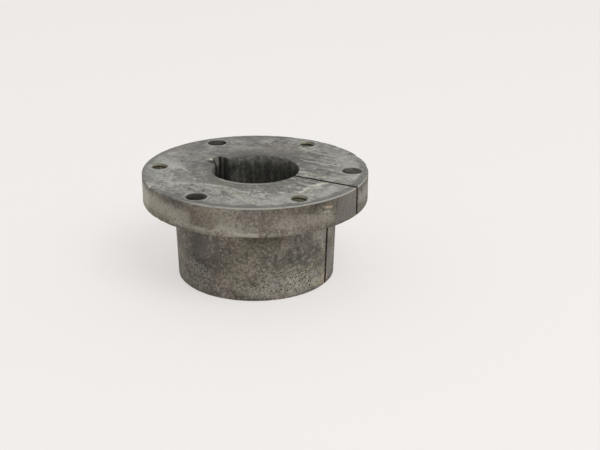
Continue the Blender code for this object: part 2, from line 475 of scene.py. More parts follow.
# Worn specks with painted glints at the foot, then dust with painted light at the rim's left end.
colour = marked(tree, colour, uneven, SILVER_AND_GLINT, around(WORN_FOOT_AND_GLINT_MARKS), between(tree, salt, 0.48, 0.6))
colour = marked(tree, colour, uneven, DUST_AND_LIGHT, around(DUST_AND_LIGHT_MARKS), between(tree, speckle, 0.12, 0.5))
colour = marked(tree, colour, uneven, SMOOTH_GREY, around(SMOOTH_MARKS))
colour = marked(tree, colour, uneven, SAND, around(SAND_MARKS), broken)
colour = marked(tree, colour, uneven, RUST, around(RUST_MARKS), between(tree, freckle, 0.35, 0.55))
colour = marked(tree, colour, {"X": turn, "Y": sides["Z"]}, LINE_BLACK, around(BLACK_LINES), broken)
leaning = arithmetic(tree, "MULTIPLY_ADD", sides["Z"], WIPED_LEAN, turn)
wiped = times(tree, between(tree, leaning, *WIPED_LEFT), between(tree, leaning, *WIPED_RIGHT))
wiped = times(tree, wiped, between(tree, sides["Z"], *WIPED_FOOT))
colour = paint(tree, colour, SMOOTH_GREY, times(tree, wiped, 0.62))
relief = blended(tree, (speckle, 0.9), (freckle, 0.6), (mottle, 0.4))
finished(tree, colour, roughness=scaled(tree, clouds, 0.5, 0.75), relief=relief, depth=0.08)
casting.data.materials.append(blacked)


# The bore: bored to size for a 1 1/2 inch shaft and left bare, then oiled.
# It is dark, with faint upright streaks.  Just below its mouth it is painted paler, as painted light, and
# the side toward the saw cut is painted darker, as painted shade.

BORE_TONES = (
    (0.0, (0.006, 0.006, 0.005)), (0.25, (0.022, 0.021, 0.018)), (0.5, (0.05, 0.0502, 0.0425)),
    (0.75, (0.11, 0.108, 0.096)), (1.0, (0.22, 0.215, 0.195)),
)


def drawn_out(tree, place, x, y, z):
    """The place scaled along each axis, so that a grain in it is drawn out where the scale is small."""
    return add(tree, "VectorMath", {0: place, 1: (x, y, z)}, operation="MULTIPLY").outputs[0]


def streaked(tree, place):
    """Grain drawn out along the bore."""
    return grain(tree, drawn_out(tree, place, 1, 1, 0.12), 1.2)


def shifted(tree, tone, where, amount):
    """A tone made paler or darker by an amount, as far as a mask says."""
    return arithmetic(tree, "MULTIPLY_ADD", where, amount, tone)


bored, tree = new_finish("bored_iron")
place = millimetres(tree)
sides = parted(tree, place)
streaks = streaked(tree, place)
clouds = grain(tree, place, 6)
freckle = grain(tree, place, 1.4)
tone = blended(tree, (streaks, 0.9), (clouds, 0.7), (freckle, 0.7), (grain(tree, place, 0.7), 0.6))
# Painted light just below the mouth, then painted shade on the side toward the saw cut.
tone = shifted(tree, tone, between(tree, sides["Z"], LENGTH - 6, LENGTH), 0.46)
tone = shifted(tree, tone, between(tree, sides["X"], -14.5, -9), -0.12)
tone = shifted(tree, tone, between(tree, sides["X"], -3, 12), -0.14)
colour = toned(tree, tone, BORE_TONES)
relief = blended(tree, (streaks, 0.5), (freckle, 0.6))
finished(tree, colour, roughness=scaled(tree, clouds, 0.42, 0.65), relief=relief, depth=0.05)
casting.data.materials.append(bored)


# The keyway: a square-cornered slot for half of a 3/8 inch key, pulled through the bore by a broach.
# It runs the full length of the bore, almost opposite the saw cut.  Its floor is painted pale for a few
# millimetres below the mouth, as painted light, and its dark streaks, on the floor lower down, on the far wall
# and at the corner by the burr, are partly painted shade.

KEYWAY_WIDTH = 9.525
KEYWAY_REACH = 23.21
KEYWAY_ANGLE = 174.7
OVERRUN = 0.6


def cutter(name, points, faces, finish):
    """A closed solid that is taken out of the casting and leaves its own finish on the cut."""
    mesh = bpy.data.meshes.new(name)
    mesh.from_pydata([Vector(point) * MM for point in points], [], faces)
    mesh.materials.append(finish)
    piece = bpy.data.objects.new(name, mesh)
    piece.hide_render = True
    cutters.objects.link(piece)
    return piece


def block_cutter(name, reach, width, degrees, finish):
    """An upright block as tall as the bushing, from the bore's axis out to its reach at one angle."""
    turn = Matrix.Rotation(math.radians(degrees), 3, "Z")
    corners = [(0, -width / 2), (reach, -width / 2), (reach, width / 2), (0, width / 2)]
    points = [turn @ Vector((x, y, z)) for z in (-OVERRUN, LENGTH + OVERRUN) for x, y in corners]
    faces = [(3, 2, 1, 0), (4, 5, 6, 7), (0, 1, 5, 4), (1, 2, 6, 5), (2, 3, 7, 6), (3, 0, 4, 7)]
    return cutter(name, points, faces, finish)


def out_toward(tree, place, degrees):
    """Distance out from the bushing's axis in one direction."""
    way = (math.cos(math.radians(degrees)), math.sin(math.radians(degrees)), 0)
    return add(tree, "VectorMath", {0: place, 1: way}, operation="DOT_PRODUCT").outputs["Value"]


KEY_STREAK_AND_SHADE = (0.012, 0.011, 0.009, 1)
KEY_PAINTED_LIGHT = (0.25, 0.243, 0.215, 1)

# Streaks down the keyway, by the distance across its floor and on over its far wall, and by height.
# The dark streaks are partly painted shade, and the pale ones are painted light on the floor below the mouth.
DARK_STREAKS_AND_SHADE = [
    (-3.4, 41, -2.6, 20, 2.4, 0.85), (2.0, 42.5, 2.1, 0, 1.3, 0.85), (4.9, 48, 4.9, 0, 0.9, 0.8),
    (7.8, 48, 7.8, 0, 0.9, 0.7), (3.9, 41, 3.9, 0, 1.5, 0.4), (-3.2, 46.7, -2.6, 46.4, 0.4, 0.8),
    (-1.3, 46.9, -0.5, 46.0, 0.35, 0.8), (0.5, 46.6, 1.3, 44.8, 0.5, 0.85), (1.3, 44.8, 2.0, 42.5, 0.6, 0.85),
    (-2.2, 45.3, -1.7, 45.1, 0.35, 0.7),
]
PAINTED_LIGHT_STREAKS = [
    (-4.8, 48.6, 1, 48.6, 4.2, 0.5), (2.4, 47.8, 3.2, 44.8, 1.8, 0.85), (3.1, 45, 3.4, 40, 0.9, 0.35),
    (0.1, 43, 0.1, 32, 0.9, 0.5), (6.4, 47, 6.4, 38, 0.6, 0.15),
]

broached, tree = new_finish("broached_iron")
place = millimetres(tree)
sides = parted(tree, place)
outward = out_toward(tree, place, KEYWAY_ANGLE)
sideways = out_toward(tree, place, KEYWAY_ANGLE - 90)
across = arithmetic(tree, "ADD", sideways, arithmetic(tree, "SUBTRACT", KEYWAY_REACH, outward))
unfolded = add(tree, "CombineXYZ", {"X": across, "Y": sides["Z"]}).outputs[0]
streaks = streaked(tree, place)
freckle = grain(tree, place, 1.2)
tone = blended(tree, (streaks, 1.2), (freckle, 0.7))
colour = toned(tree, tone, BORE_TONES)
uneven = parted(tree, ragged(tree, unfolded, 1.5, reach=0.35))
# Painted light on the floor below the mouth, then dark streaks that are partly painted shade.
colour = marked(tree, colour, uneven, KEY_PAINTED_LIGHT, PAINTED_LIGHT_STREAKS)
colour = marked(tree, colour, uneven, KEY_STREAK_AND_SHADE, DARK_STREAKS_AND_SHADE)
finished(tree, colour, roughness=scaled(tree, freckle, 0.4, 0.6), relief=streaks, depth=0.06)
block_cutter("keyway", KEYWAY_REACH, KEYWAY_WIDTH, KEYWAY_ANGLE, broached)


# The three mounting holes: drilled clear through the flange, 11/32 inch across, and their corners broken.
# Their walls are bare grey iron with fine rings from the drill, dull with oil.  The holes toward +X are painted
# paler and those toward -Y darker, as painted light and shade, and their broken corners are painted pale,
# partly wear and partly painted highlight.

BOLT_CIRCLE = 42.07
BOLT_HOLE_RADIUS = 4.37
BOLT_HOLE_ANGLES = (25.4, 145.4, 265.4)
HOLE_BREAK = 0.3
CORNER_FADE = 0.05
DRILLED_STEPS = 56


def on_bolt_circle(degrees):
    angle = math.radians(degrees)
    return Vector((BOLT_CIRCLE * math.cos(angle), BOLT_CIRCLE * math.sin(angle), 0))


def ringed_cutter(name, centre, rings, finish):
    """A solid of stacked rings, each given as its radius and height, closed flat at both ends."""
    points = []
    for radius, z in rings:
        for step in range(DRILLED_STEPS):
            angle = math.tau * step / DRILLED_STEPS
            points.append(centre + Vector((radius * math.cos(angle), radius * math.sin(angle), z)))
    faces = [tuple(reversed(range(DRILLED_STEPS)))]
    for ring in range(len(rings) - 1):
        for step in range(DRILLED_STEPS):
            beside = (step + 1) % DRILLED_STEPS
            low = ring * DRILLED_STEPS
            high = low + DRILLED_STEPS
            faces.append((low + step, low + beside, high + beside, high + step))
    faces.append(tuple(range(len(points) - DRILLED_STEPS, len(points))))
    return cutter(name, points, faces, finish)


DRILLED_TONES = ((0.0, (0.012, 0.011, 0.009)), (0.5, (0.078, 0.077, 0.067)), (1.0, (0.27, 0.265, 0.235)))
CORNER_WEAR_AND_HIGHLIGHT = (0.2, 0.197, 0.178, 1)

drilled, tree = new_finish("drilled_iron")
place = millimetres(tree)
sides = parted(tree, place)
clouds = grain(tree, place, 3)
freckle = grain(tree, place, 1.0)
rings = grain(tree, drawn_out(tree, place, 0.1, 0.1, 1), 0.6)
tone = blended(tree, (clouds, 1.1), (rings, 0.7), (freckle, 0.9))
# Painted light on the holes toward +X and painted shade on those toward -Y.
tone = shifted(tree, tone, between(tree, sides["X"], 10, 38), 0.16)
tone = shifted(tree, tone, between(tree, sides["Y"], -20, -42), -0.17)
colour = toned(tree, tone, DRILLED_TONES)
# The broken corners are painted pale: partly wear and partly painted highlight.
upper, lower = LENGTH - HOLE_BREAK, FLANGE_BACK + HOLE_BREAK
upper_corner = between(tree, sides["Z"], upper - CORNER_FADE, upper + CORNER_FADE)
lower_corner = between(tree, sides["Z"], lower + CORNER_FADE, lower - CORNER_FADE)
colour = paint(tree, colour, CORNER_WEAR_AND_HIGHLIGHT, arithmetic(tree, "MAXIMUM", upper_corner, lower_corner))
finished(tree, colour, roughness=scaled(tree, clouds, 0.45, 0.6), relief=rings, depth=0.05)

for number, degrees in enumerate(BOLT_HOLE_ANGLES, 1):
    ringed_cutter(f"bolt_hole_{number}", on_bolt_circle(degrees), [
        (BOLT_HOLE_RADIUS + HOLE_BREAK + OVERRUN, FLANGE_BACK - OVERRUN),
        (BOLT_HOLE_RADIUS, FLANGE_BACK + HOLE_BREAK),
        (BOLT_HOLE_RADIUS, LENGTH - HOLE_BREAK),
        (BOLT_HOLE_RADIUS + HOLE_BREAK + OVERRUN, LENGTH + OVERRUN),
    ], drilled)


# The three jacking holes: drilled, then tapped 5/16 inch, 18 threads to the inch, right hand.
# Whatever is turned into them presses on the hub behind the flange and pushes the bushing off it.

JACK_HOLE_ANGLES = (85.4, 205.4, 325.4)
THREAD_PITCH = 1.411
THREAD_ROOT_RADIUS = 3.97
THREAD_CREST_RADIUS = 3.32
THREAD_MOUTH_RADIUS = 3.6
THREAD_MOUTH_DEPTH = 1.2
THREAD_STEPS = 40
LEAD_IN_TURNS = 1.5
SPARE_TURNS = 2

# The thread's form up one pitch: the share of the pitch, and the radius there.
THREAD_FORM = (
    (0.0, THREAD_CREST_RADIUS), (0.17, THREAD_CREST_RADIUS),
    (0.53, THREAD_ROOT_RADIUS), (0.64, THREAD_ROOT_RADIUS),
)


def tap_cutter(name, centre, finish):
    """The tap's threaded body: a strip that winds up the hole, four points of thread form to a pitch."""
    form = len(THREAD_FORM)
    turns = math.ceil((FLANGE_THICKNESS + 2 * OVERRUN) / THREAD_PITCH) + SPARE_TURNS
    start = FLANGE_BACK - OVERRUN - LEAD_IN_TURNS * THREAD_PITCH
    rows = form * turns + 1
    points = []
    for row in range(rows):
        share, radius = THREAD_FORM[row % form]
        for step in range(THREAD_STEPS):
            part_turn = step / THREAD_STEPS
            angle = math.tau * part_turn
            z = start + THREAD_PITCH * (row // form + share + part_turn)
            points.append(centre + Vector((radius * math.cos(angle), radius * math.sin(angle), z)))

    def at(row, step):
        return row * THREAD_STEPS + step

    last = THREAD_STEPS - 1
    faces = []
    for row in range(rows - 1):
        for step in range(last):
            faces.append((at(row, step), at(row, step + 1), at(row + 1, step + 1), at(row + 1, step)))
        if row + form + 1 < rows:
            faces.append((at(row, last), at(row + form, 0), at(row + form + 1, 0), at(row + 1, last)))
    bottom = [at(0, step) for step in range(THREAD_STEPS)] + [at(row, 0) for row in range(form, 0, -1)]
    top = [at(rows - 1, step) for step in range(THREAD_STEPS)]
    top += [at(rows - 1 - row, last) for row in range(1, form + 1)]
    points.append(centre + Vector((0, 0, start - THREAD_PITCH)))
    points.append(centre + Vector((0, 0, start + THREAD_PITCH * (turns + SPARE_TURNS))))
    for index, corner in enumerate(bottom):
        faces.append((bottom[(index + 1) % len(bottom)], corner, len(points) - 2))
    for index, corner in enumerate(top):
        faces.append((corner, top[(index + 1) % len(top)], len(points) - 1))
    return cutter(name, points, faces, finish)


OILY_TONES = ((0.0, (0.02, 0.018, 0.011)), (0.5, (0.125, 0.117, 0.073)), (1.0, (0.32, 0.3, 0.2)))

tapped, tree = new_finish("tapped_iron")
place = millimetres(tree)
clouds = grain(tree, place, 2.5)
tone = blended(tree, (clouds, 1.3), (grain(tree, place, 0.8), 0.9))
colour = toned(tree, tone, OILY_TONES)
finished(tree, colour, roughness=scaled(tree, clouds, 0.25, 0.45), relief=clouds, depth=0.03)

for number, degrees in enumerate(JACK_HOLE_ANGLES, 1):
    tap_cutter(f"jack_hole_{number}", on_bolt_circle(degrees), tapped)
    for end, face, outward in (("top", LENGTH, 1), ("back", FLANGE_BACK, -1)):
        rings = [
            (THREAD_MOUTH_RADIUS - THREAD_MOUTH_DEPTH, face - outward * THREAD_MOUTH_DEPTH),
            (THREAD_MOUTH_RADIUS + OVERRUN, face + outward * OVERRUN),
        ]
        ringed_cutter(f"jack_mouth_{number}_{end}", on_bolt_circle(degrees), rings[::outward], drilled)


# The saw cut: sawn through one wall from the bore to the rim, so that the bushing can close on its shaft.
# Its walls are dark iron with fine level marks from the blade, and its edges are sharp.

SAW_KERF = 1.6
SAWN_TONES = ((0.0, (0.008, 0.006, 0.004)), (0.5, (0.05, 0.043, 0.03)), (1.0, (0.2, 0.17, 0.11)))

sawn, tree = new_finish("sawn_iron")
place = millimetres(tree)
ridges = grain(tree, drawn_out(tree, place, 0.06, 1, 1), 0.5)
tone = blended(tree, (grain(tree, place, 5), 0.9), (ridges, 1.0))
colour = toned(tree, tone, SAWN_TONES)
finished(tree, colour, roughness=scaled(tree, ridges, 0.5, 0.75), relief=ridges, depth=0.08)

block_cutter("saw_cut", FLANGE_RADIUS + OVERRUN, SAW_KERF, 0, sawn)


# The flange's face: turned, rubbed flat with an abrasive after drilling, blacked, and since handled.
# It is a dull middle grey, darker round the back of the bore and paler in a ring toward the rim,
# with long faint rubbing marks, pale smears and scratches, and a fine pale and dark speckle.

FACE_TONES = (
    (0.0, (0.03, 0.0288, 0.0255)), (0.25, (0.095, 0.0925, 0.082)), (0.5, (0.177, 0.1745, 0.155)),
    (0.75, (0.28, 0.277, 0.25)), (1.0, (0.44, 0.437, 0.4)),
)
PALE_GREY = (0.36, 0.36, 0.325, 1)
SHADE_GREY = (0.105, 0.102, 0.092, 1)
DARK_GREY = (0.068, 0.064, 0.055, 1)
DARK_BROWN = (0.095, 0.086, 0.067, 1)
PINK_BROWN = (0.162, 0.141, 0.124, 1)
FLECK_BLACK = (0.04, 0.038, 0.034, 1)
BUFF = (0.52, 0.515, 0.415, 1)
OLIVE = (0.16, 0.155, 0.108, 1)
PALE_OLIVE = (0.3, 0.305, 0.24, 1)
BLUE_GREY = (0.25, 0.258, 0.255, 1)

# Each mark runs from x, y to x, y, and then has its reach to either side and its strength.
BROAD_PALE_MARKS = [
    (27, 33, 41, 17, 9, 0.36), (41, -6, 43.5, -18, 4, 0.45), (26, -27, 31, -34, 4, 0.3), (17, -33, 25, -38, 4, 0.3),
    (-41, -8, -31, -14, 4, 0.35), (-38, -24, -30, -30, 4.5, 0.3), (-25, 23, -12, 27, 3.5, 0.4),
    (-33, 17, -38, 22, 3, 0.3), (7, 29, 14, 27, 3, 0.35), (8, 34, 28, 30.5, 2.4, 0.4), (-33, 12, -30, 20, 4, 0.25),
    (-35, 8, -28, 16, 3, 0.2),
]
SHADED_MARKS = [
    (-29, 40, -22, 32, 2.2, 0.45), (10, 41, 20, 38.5, 3, 0.4), (-20, 38, -33, 28, 4, 0.45),
    (-36, -27, -25, -36.5, 3, 0.3), (11, 26, 25, 25.5, 2.2, 0.35), (10, 17.2, 27, 16.2, 2.0, 0.5),
    (-38, 14, -33, 5, 5, 0.55), (-9, 46, 1, 47, 2.6, 0.5), (20, 10, 30, 11, 4, 0.3), (10, 38.5, -3, 40, 3, 0.3),
    (-23.5, 40.2, -41, 22, 2.4, 0.5), (9, -21.5, 19, -24, 4.5, 0.45), (-24, -42, -12.5, -47, 1.4, 0.5),
    (37.2, -3, 38, -10, 2.8, 0.5), (-30, -2, -25, -8, 4, 0.2), (-5, -22, -15, -21, 3, 0.25),
    (40, 12, 44, 2, 2.5, 0.2), (22, 30, 27, 38, 2, 0.2),
]
PINK_MARKS = [(-8, 27, -2, 36, 5, 0.55), (-45, 5, -43.5, 15, 3.5, 0.55), (-26, -21, -19, -27, 4, 0.5)]
OIL_MARKS = [(17.5, -19, 23.5, -26, 3.4, 0.5), (22, -8, 28, -13, 4, 0.45), (24, -4, 22, -22, 5.5, 0.4)]
PALE_MARKS = [
    (33.3, -12, 35.7, -7.3, 1.3, 0.5), (-27, -31, -20.5, -34.3, 1.5, 0.7), (-21, -34, -16.7, -30.8, 1.6, 0.85),
    (-16.7, -30.8, -10.8, -28.2, 1.4, 0.85), (-10.8, -28.2, -3.3, -27.2, 1.3, 0.85),
    (-3.3, -27.2, 3.3, -27, 1.3, 0.8), (3.3, -27, 12, -28, 1.2, 0.7), (-31, -13.6, -22, -18, 1.2, 0.75),
    (-28, -22, -24, -31, 1.1, 0.6), (-44, -10, -35, -12.5, 1.4, 0.4), (-31, 31, -21, 30, 2.5, 0.25),
    (33, 10, 36, 2, 2.5, 0.25), (24, -3.5, 40, -4.5, 0.6, 0.3),
]
RUBBED_LINES = [
    (13.5, 20.1, 30, 20.9, 0.85, 0.95), (10, 32.6, 30, 31.2, 0.7, 0.45), (17, 28.6, 38, 27.2, 0.7, 0.45),
    (18, 14.2, 36, 14.6, 0.6, 0.35), (15, 24, 33, 24.2, 0.6, 0.3),
]
SPECKLED_MARKS = [
    (16, -25, 26, -31, 5, 0.8), (4, -29, 16, -35, 4.5, 0.7), (-34, -20, -28, -30, 6, 0.6),
    (-20, -36, 0, -34, 5, 0.5), (30, -32, 38, -18, 3.5, 0.6), (1, 41, 7, 32, 3.5, 0.6), (31, 24, 44, 8, 4, 0.5),
    (-40, -8, -30, -14, 4, 0.4), (20, -16, 27, -9, 3, 0.4),
]
BUFF_MARKS = [
    (32.8, -6.6, 34.3, -3.4, 1.7, 1.0), (33.9, -2.6, 36.2, -1.9, 0.8, 0.8), (31.4, -17.2, 31.8, -14, 1.2, 0.8),
    (31.2, -12.8, 31.9, -10.6, 1.3, 0.9), (3, 35.8, 8, 34, 1.4, 0.4), (-29, 28, -27.5, 26.5, 1.4, 0.5),
]
OLIVE_MARKS = [
    (1, -28.8, 9, -31.5, 3.4, 0.7), (3, 35.5, 7, 34, 3, 0.4), (26, -16, 22, -20, 2, 0.3),
    (-12, 22.5, -4, 23.5, 3, 0.3),
]
PALE_OLIVE_MARKS = [
    (8, -32, 16, -35.5, 2.5, 0.5), (-25.6, 6, -25.2, 1, 1.8, 0.55), (24, 6, 38, 7, 4, 0.3),
    (4, -29, 13, -31, 2.5, 0.35),
]
BLUE_MARKS = [(-36, -25, -30, -31, 5, 0.3), (-40, -9, -33, -12, 3.5, 0.3)]

# Darker rings, and rings of wear, round the bore: the direction in which they lie, the distances that way over
# which they come up, their inner and outer radius, their tint and their strength.
DARKER_RINGS = [
    (116, -3, 14, 22.5, 32, DARK_GREY, 0.88), (98, 19, 29, 31, 38, DARK_BROWN, 0.7),
    (-78, 8, 19, 24, 32, DARK_BROWN, 0.75), (-150, 10, 20, 20.6, 23.4, DARK_GREY, 0.75),
    (-50, 10, 18, 21, 23.5, DARK_GREY, 0.25), (92, 10, 18, 20.8, 23.4, DARK_GREY, 0.8),
]
WORN_RINGS = [
    (0, 14, 32, 34, 45.5, PALE_OLIVE, 0.2), (-60, 20, 32, 38, 46, PALE_GREY, 0.15),
    (-33, 20, 34, 34, 44.3, PALE_GREY, 0.22), (50, 28, 38, 40, 46, PALE_GREY, 0.25),
    (-147, 26, 36, 36, 43, PALE_GREY, 0.3), (165, 12, 30, 46.3, 60, SHADE_GREY, 0.6),
]


def length_of(tree, place):
    return add(tree, "VectorMath", {0: place}, operation="LENGTH").outputs["Value"]


def reaching(tree, place, degrees, start, end):
    """Share of the way between two distances out from the axis in the given direction."""
    return between(tree, out_toward(tree, place, degrees), start, end)


def stretched(tree, place, degrees, along, across):
    """The place turned about Z and drawn out, so that a grain of size 1 in it runs in streaks."""
    turned = add(tree, "Mapping", {"Vector": place, "Rotation": (0, 0, math.radians(-degrees))}).outputs[0]
    return drawn_out(tree, turned, 1 / along, 1 / across, 1)


faced, tree = new_finish("faced_iron")
place = millimetres(tree)
flat = drawn_out(tree, place, 1, 1, 0)
from_axis = length_of(tree, flat)
pushed = ragged(tree, flat, 2.5, reach=1.1)
uneven = parted(tree, pushed)
clouds = grain(tree, place, 12)
smears = grain(tree, place, 4.5, roughness=0.65)
freckle = grain(tree, place, 1.7, roughness=0.65)
speckle = grain(tree, place, 0.8, detail=2.0)
rubbing = grain(tree, stretched(tree, place, -1, along=18, across=1.5), 1.0)
fine_rubbing = grain(tree, stretched(tree, place, -4, along=8, across=0.36), 1.0)
rubbed = scaled(tree, reaching(tree, flat, 27, -12, 18), 0.25, 1.3)
lively = scaled(tree, reaching(tree, flat, 150, 20, -25), 0.88, 1.2)

fine_cover = blended(tree, (freckle, 1.2), (speckle, 1.2))
tone = stirred(tree, blended(tree, (clouds, 1.1), (smears, 1.1)), fine_cover, lively)
tone = stirred(tree, tone, rubbing, times(tree, rubbed, 0.85))
tone = stirred(tree, tone, fine_rubbing, times(tree, rubbed, 1.1))
colour = toned(tree, tone, FACE_TONES)

# The face is darker round the bore, most of all behind it, and a paler ring lies outside that.
reach = length_of(tree, pushed)
for degrees, start, end, inner, outer, tint, strength in DARKER_RINGS:
    darkened = times(tree, between(tree, reach, outer, inner), reaching(tree, flat, degrees, start, end))
    colour = paint(tree, colour, tint, times(tree, darkened, strength))
for degrees, start, end, inner, outer, tint, strength in WORN_RINGS:
    band = times(tree, between(tree, reach, inner - 1.5, inner + 1), between(tree, reach, outer + 1, outer - 1))
    band = times(tree, band, reaching(tree, flat, degrees, start, end))
    colour = paint(tree, colour, tint, times(tree, band, strength))

colour = marked(tree, colour, uneven, PALE_GREY, BROAD_PALE_MARKS, between(tree, smears, 0.3, 0.6))
colour = marked(tree, colour, uneven, SHADE_GREY, SHADED_MARKS)
colour = marked(tree, colour, uneven, PINK_BROWN, PINK_MARKS)
colour = marked(tree, colour, uneven, DARK_BROWN, OIL_MARKS, between(tree, freckle, 0.65, 0.4))
colour = marked(tree, colour, uneven, BLUE_GREY, BLUE_MARKS)
colour = marked(tree, colour, uneven, OLIVE, OLIVE_MARKS)
colour = marked(tree, colour, uneven, PALE_OLIVE, PALE_OLIVE_MARKS, between(tree, freckle, 0.3, 0.55))
colour = marked(tree, colour, uneven, PALE_GREY, PALE_MARKS, between(tree, freckle, 0.25, 0.5))
colour = marked(tree, colour, parted(tree, flat), PALE_GREY, RUBBED_LINES, between(tree, freckle, 0.05, 0.35))
colour = marked(tree, colour, uneven, PALE_GREY, SPECKLED_MARKS, between(tree, speckle, 0.47, 0.58))
colour = marked(tree, colour, uneven, BUFF, BUFF_MARKS, between(tree, speckle, 0.3, 0.5))
worn_spots = times(tree, between(tree, grain(tree, place, 1.1), 0.57, 0.66), between(tree, smears, 0.4, 0.6))
colour = paint(tree, colour, PALE_GREY, times(tree, worn_spots, times(tree, lively, 0.55)))
dark_spots = between(tree, grain(tree, place, 0.95, detail=2.0), 0.36, 0.29)
dark_spots = times(tree, dark_spots, between(tree, clouds, 0.35, 0.55))
colour = paint(tree, colour, FLECK_BLACK, times(tree, dark_spots, times(tree, lively, 0.6)))

# The outer band is smoother and darker on the side by the saw cut, and its corner there is painted pale,
# partly wear and partly painted highlight.  A painted highlight runs along the bore's front edge.
band = times(tree, between(tree, from_axis, 45.0, 46.5), reaching(tree, flat, -32, 6, 22))
colour = paint(tree, colour, SHADE_GREY, times(tree, band, 0.75))
corner = times(tree, between(tree, from_axis, 48.6, 48.85), reaching(tree, flat, -40, 20, 36))
colour = paint(tree, colour, PALE_GREY, times(tree, corner, times(tree, between(tree, freckle, 0.1, 0.4), 0.75)))
bore_edge_highlight = times(tree, between(tree, from_axis, 21.2, 20.3), reaching(tree, flat, -76, 15, 19))
colour = paint(tree, colour, PALE_GREY, times(tree, bore_edge_highlight, 0.5))
# Pale rings round the holes: partly wear and partly painted highlight.
for degrees in BOLT_HOLE_ANGLES + JACK_HOLE_ANGLES:
    away = add(tree, "VectorMath", {0: flat, 1: on_bolt_circle(degrees)}, operation="DISTANCE").outputs["Value"]
    worn_ring_and_highlight = times(tree, between(tree, away, 5.7, 4.9), between(tree, freckle, 0.38, 0.58))
    colour = paint(tree, colour, PALE_GREY, times(tree, worn_ring_and_highlight, 0.5))
relief = blended(tree, (speckle, 0.8), (fine_rubbing, 0.5), (freckle, 0.6))
finished(tree, colour, roughness=scaled(tree, clouds, 0.48, 0.7), relief=relief, depth=0.07)
casting.data.materials.append(faced)


# The pits and knocks: small blowholes in the iron, opened by turning and blackened inside, thick at the
# foot of the barrel near the saw cut, and a few chips knocked out of the rim's upper corner.
# One chip is still bright, and the broach has thrown up a bright burr at the keyway's corner.

BRIGHT_IRON = ((0.0, (0.26, 0.25, 0.21)), (0.5, (0.5, 0.485, 0.42)), (1.0, (0.68, 0.66, 0.59)))
PIT_TONES = ((0.0, (0.008, 0.007, 0.006)), (0.5, (0.035, 0.031, 0.025)), (1.0, (0.09, 0.082, 0.066)))
BOWL_WIDTH_SHARE = 0.8

# Pits over the barrel and over the rim: how many, and between which degrees, heights and widths.
SCATTERED_PITS = ((70, (-180, 180), (2, 32), (0.2, 0.33)), (35, (-108, 200), (36.5, 46.5), (0.18, 0.3)))
FOOT_PITS, FOOT_PIT_WIDTHS = 190, (0.19, 0.38)
FACE_PITS, FACE_PIT_WIDTHS = 60, (0.22, 0.42)
WALL_PIT_DEPTH = 0.16
FACE_PIT_DEPTH = 0.14
DENT_DEPTH = 0.3
CHIP_DEPTH_SHARE = 0.5
CHIP_INSET = 0.2
PIT_SEED = 31

# Chips in the rim's corner by degrees and size, the first still bright, and dents in the face by x, y and width.
CORNER_CHIPS = [(-124.3, 1.3), (-97, 0.4), (-33, 0.4), (40, 0.6), (118, 0.7), (171, 0.6)]
DENTS = [(-22.1, 6.95, 0.5), (-19.4, 6.65, 0.55), (-30.6, -20.4, 0.5), (-26.5, -33.1, 0.45)]


def plain_finish(name, tones):
    """Iron whose tone only clouds a little from place to place."""
    finish, tree = new_finish(name)
    place = millimetres(tree)
    clouds = grain(tree, place, 0.7)
    colour = toned(tree, blended(tree, (clouds, 1.6)), tones)
    finished(tree, colour, roughness=scaled(tree, clouds, 0.45, 0.65), relief=clouds, depth=0.03)
    return finish


def hollow(name, spot, outward, width, depth, finish):
    """A shallow bowl taken out of the surface at one spot, wider than it is deep."""
    shape = bmesh.new()
    bmesh.ops.create_icosphere(shape, subdivisions=2, radius=1)
    turn = outward.to_track_quat("Z", "Y").to_matrix()
    points = []
    for corner in shape.verts:
        x, y, z = corner.co
        points.append(spot + turn @ Vector((x * width, y * width * BOWL_WIDTH_SHARE, z * depth)))
    faces = [tuple(corner.index for corner in face.verts) for face in shape.faces]
    shape.free()
    return cutter(name, points, faces, finish)


def on_wall(degrees, z):
    """A spot on the rim or on the barrel, and the way out from it."""
    outward = Vector((math.cos(math.radians(degrees)), math.sin(math.radians(degrees)), 0))
    radius = FLANGE_RADIUS if z > FLANGE_BACK else barrel_radius(z)
    return outward * radius + Vector((0, 0, z)), outward


pitted = plain_finish("pitted_iron", PIT_TONES)
bright = plain_finish("bright_iron", BRIGHT_IRON)
dice = random.Random(PIT_SEED)
spots = []
# The band of pits at the foot climbs as it leaves the saw cut.
for _ in range(FOOT_PITS):
    degrees = dice.triangular(-64, -11, -19)
    lowest = 2.0 + max(0, -degrees - 40) * 0.25
    spots.append((degrees, dice.uniform(lowest, lowest + 11), FOOT_PIT_WIDTHS))
for count, turns, heights, widths in SCATTERED_PITS:
    spots += [(dice.uniform(*turns), dice.uniform(*heights), widths) for _ in range(count)]
for number, (degrees, z, widths) in enumerate(spots):
    spot, outward = on_wall(degrees, z)
    hollow(f"wall_pit_{number}", spot, outward, dice.uniform(*widths), WALL_PIT_DEPTH, pitted)
for number in range(FACE_PITS):
    reach = math.sqrt(dice.uniform(21.5 ** 2, 47.5 ** 2))
    degrees = math.radians(dice.uniform(-180, 180))
    spot = Vector((reach * math.cos(degrees), reach * math.sin(degrees), LENGTH))
    hollow(f"face_pit_{number}", spot, Vector((0, 0, 1)), dice.uniform(*FACE_PIT_WIDTHS), FACE_PIT_DEPTH, pitted)

for number, (degrees, size) in enumerate(CORNER_CHIPS):
    spot, outward = on_wall(degrees, LENGTH)
    slanting = outward + Vector((0, 0, 1))
    finish = bright if number == 0 else faced
    hollow(f"corner_chip_{number}", spot - slanting * CHIP_INSET, slanting, size, size * CHIP_DEPTH_SHARE, finish)
for number, (x, y, width) in enumerate(DENTS):
    hollow(f"dent_{number}", Vector((x, y, LENGTH)), Vector((0, 0, 1)), width, DENT_DEPTH, pitted)

